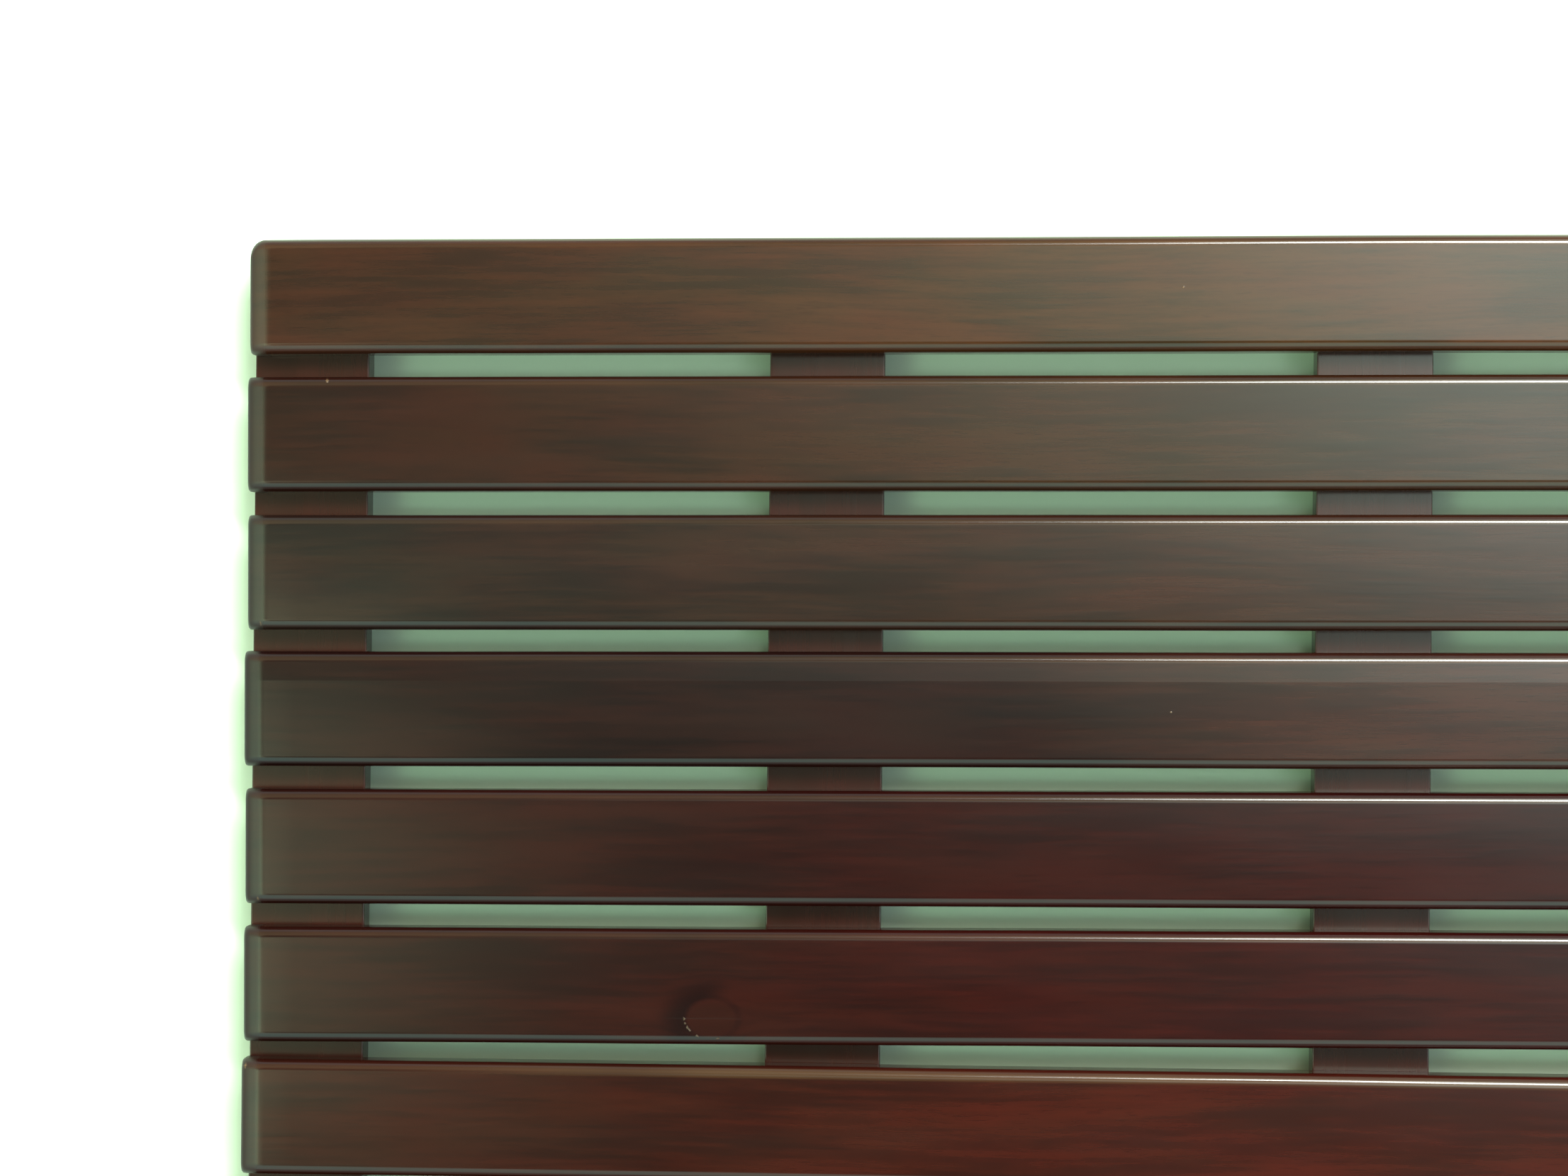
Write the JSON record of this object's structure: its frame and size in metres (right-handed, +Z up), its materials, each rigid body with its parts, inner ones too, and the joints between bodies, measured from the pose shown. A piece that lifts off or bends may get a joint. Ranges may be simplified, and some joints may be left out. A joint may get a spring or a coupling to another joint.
{
  "type": "slatted bath mat",
  "caption": "Rigid slatted wooden bath mat: parallel boards screwed to cross battens from below, on small rubber feet.",
  "frame": {"origin": "on the floor under the middle of the mat", "axes": "+X along the slats, +Y across them towards slat_1, +Z up"},
  "size_m": [0.6, 0.38, 0.0275],
  "materials": {
    "slat_wood": "dark stained hardwood under satin lacquer",
    "batten_wood": "dark stained hardwood, thinner satin lacquer",
    "screw_steel": "bare stainless",
    "foot_rubber": "matt moulded rubber"
  },
  "bodies": {
    "root": {"slat_1": "slat_wood", "slat_2": "slat_wood", "slat_3": "slat_wood", "slat_4": "slat_wood", "slat_5": "slat_wood", "slat_6": "slat_wood", "slat_7": "slat_wood", "slat_8": "slat_wood", "batten_1": "batten_wood", "slat_screw_1_1": "screw_steel", "slat_screw_1_2": "screw_steel", "slat_screw_1_3": "screw_steel", "slat_screw_1_4": "screw_steel", "slat_screw_1_5": "screw_steel", "slat_screw_1_6": "screw_steel", "slat_screw_1_7": "screw_steel", "slat_screw_1_8": "screw_steel", "foot_1_back": "foot_rubber", "foot_screw_1_back": "screw_steel", "foot_1_front": "foot_rubber", "foot_screw_1_front": "screw_steel", "batten_2": "batten_wood", "slat_screw_2_1": "screw_steel", "slat_screw_2_2": "screw_steel", "slat_screw_2_3": "screw_steel", "slat_screw_2_4": "screw_steel", "slat_screw_2_5": "screw_steel", "slat_screw_2_6": "screw_steel", "slat_screw_2_7": "screw_steel", "slat_screw_2_8": "screw_steel", "foot_2_back": "foot_rubber", "foot_screw_2_back": "screw_steel", "foot_2_front": "foot_rubber", "foot_screw_2_front": "screw_steel", "batten_3": "batten_wood", "slat_screw_3_1": "screw_steel", "slat_screw_3_2": "screw_steel", "slat_screw_3_3": "screw_steel", "slat_screw_3_4": "screw_steel", "slat_screw_3_5": "screw_steel", "slat_screw_3_6": "screw_steel", "slat_screw_3_7": "screw_steel", "slat_screw_3_8": "screw_steel", "foot_3_back": "foot_rubber", "foot_screw_3_back": "screw_steel", "foot_3_front": "foot_rubber", "foot_screw_3_front": "screw_steel", "batten_4": "batten_wood", "slat_screw_4_1": "screw_steel", "slat_screw_4_2": "screw_steel", "slat_screw_4_3": "screw_steel", "slat_screw_4_4": "screw_steel", "slat_screw_4_5": "screw_steel", "slat_screw_4_6": "screw_steel", "slat_screw_4_7": "screw_steel", "slat_screw_4_8": "screw_steel", "foot_4_back": "foot_rubber", "foot_screw_4_back": "screw_steel", "foot_4_front": "foot_rubber", "foot_screw_4_front": "screw_steel"}
  },
  "joints": []
}
